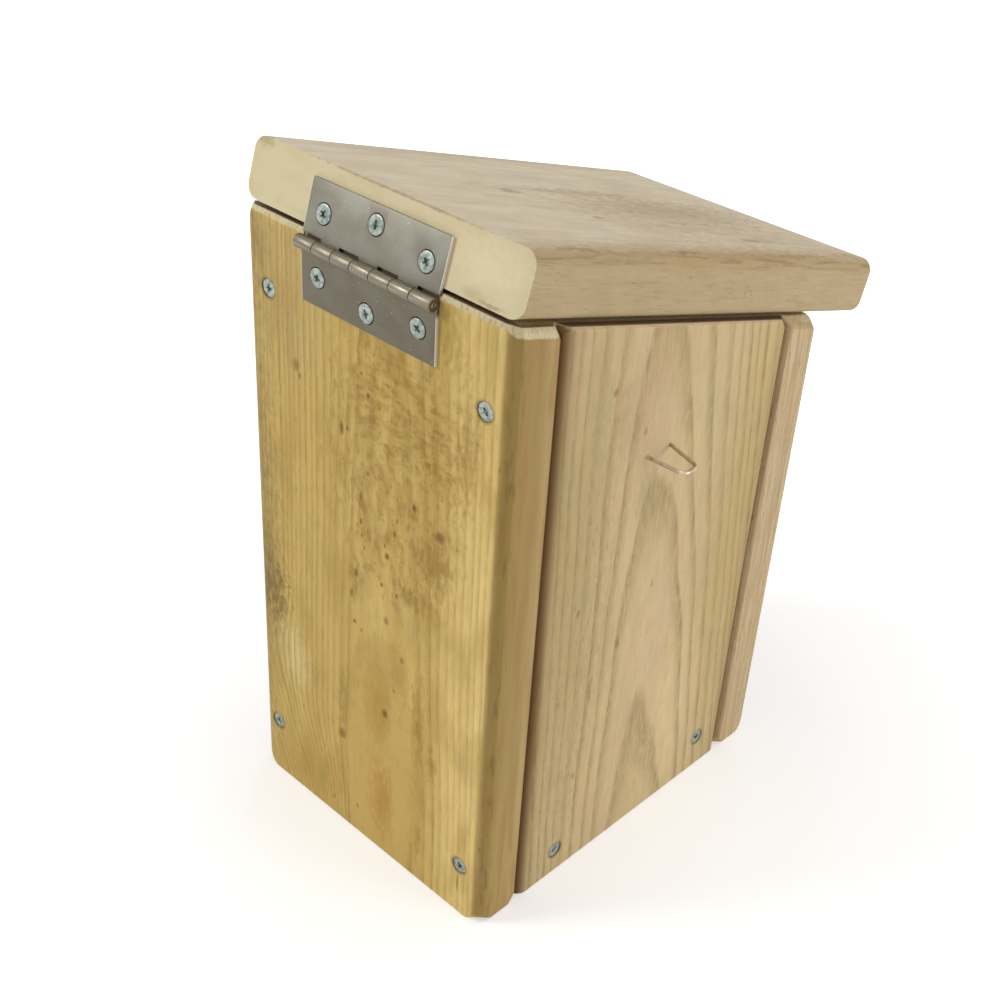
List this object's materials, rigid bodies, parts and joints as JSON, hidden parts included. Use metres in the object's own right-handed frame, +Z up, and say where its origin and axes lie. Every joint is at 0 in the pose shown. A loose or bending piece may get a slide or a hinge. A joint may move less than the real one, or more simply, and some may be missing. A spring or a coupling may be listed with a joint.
{
  "type": "sparrow nest box",
  "caption": "Screwed wooden nest box with a round entrance, a sloping lid that lifts on a steel butt hinge at the back, and wire staples to hang it by.",
  "frame": {"origin": "under the middle of the whole object, in the plane that the box stands on", "axes": "+Z up, -Y towards the front with the entrance, +Y towards the hinge, X along the hinge pin"},
  "size_m": [0.185, 0.2428, 0.3201],
  "materials": {
    "back_wood": "planed pressure-treated softwood, yellow to olive, fine upright grain",
    "front_wood": "planed pressure-treated softwood",
    "side_wood": "planed softwood, pale pinkish tan with arched grain",
    "floor_wood": "planed softwood",
    "lid_wood": "planed softwood, pale beige, cream end grain",
    "hinge_steel": "pressed steel, satin",
    "screw_zinc": "bright zinc with a blue tint",
    "staple_wire": "galvanised wire"
  },
  "bodies": {
    "box": {"back_board": "back_wood", "front_board": "front_wood", "side_board_left": "side_wood", "side_board_right": "side_wood", "floor_board": "floor_wood", "hinge_lower_leaf": "hinge_steel", "hinge_pin": "hinge_steel", "wire_staple_left": "staple_wire", "wire_staple_right": "staple_wire", "hinge_lower_screw_1": "screw_zinc", "hinge_lower_screw_2": "screw_zinc", "hinge_lower_screw_3": "screw_zinc", "back_screw_1": "screw_zinc", "back_screw_2": "screw_zinc", "back_screw_3": "screw_zinc", "back_screw_4": "screw_zinc", "front_screw_1": "screw_zinc", "front_screw_2": "screw_zinc", "front_screw_3": "screw_zinc", "front_screw_4": "screw_zinc", "floor_screw_left_1": "screw_zinc", "floor_screw_left_2": "screw_zinc", "floor_screw_right_1": "screw_zinc", "floor_screw_right_2": "screw_zinc"},
    "lid": {"roof_board": "lid_wood", "hinge_upper_leaf": "hinge_steel", "hinge_upper_screw_1": "screw_zinc", "hinge_upper_screw_2": "screw_zinc", "hinge_upper_screw_3": "screw_zinc"}
  },
  "joints": [
    {"name": "lid_hinge", "type": "hinge", "parent": "box", "child": "lid", "pos_m": [0, 0.11866, 0.2907], "axis": [-1, 0, 0], "range_deg": [0, 195]}
  ]
}
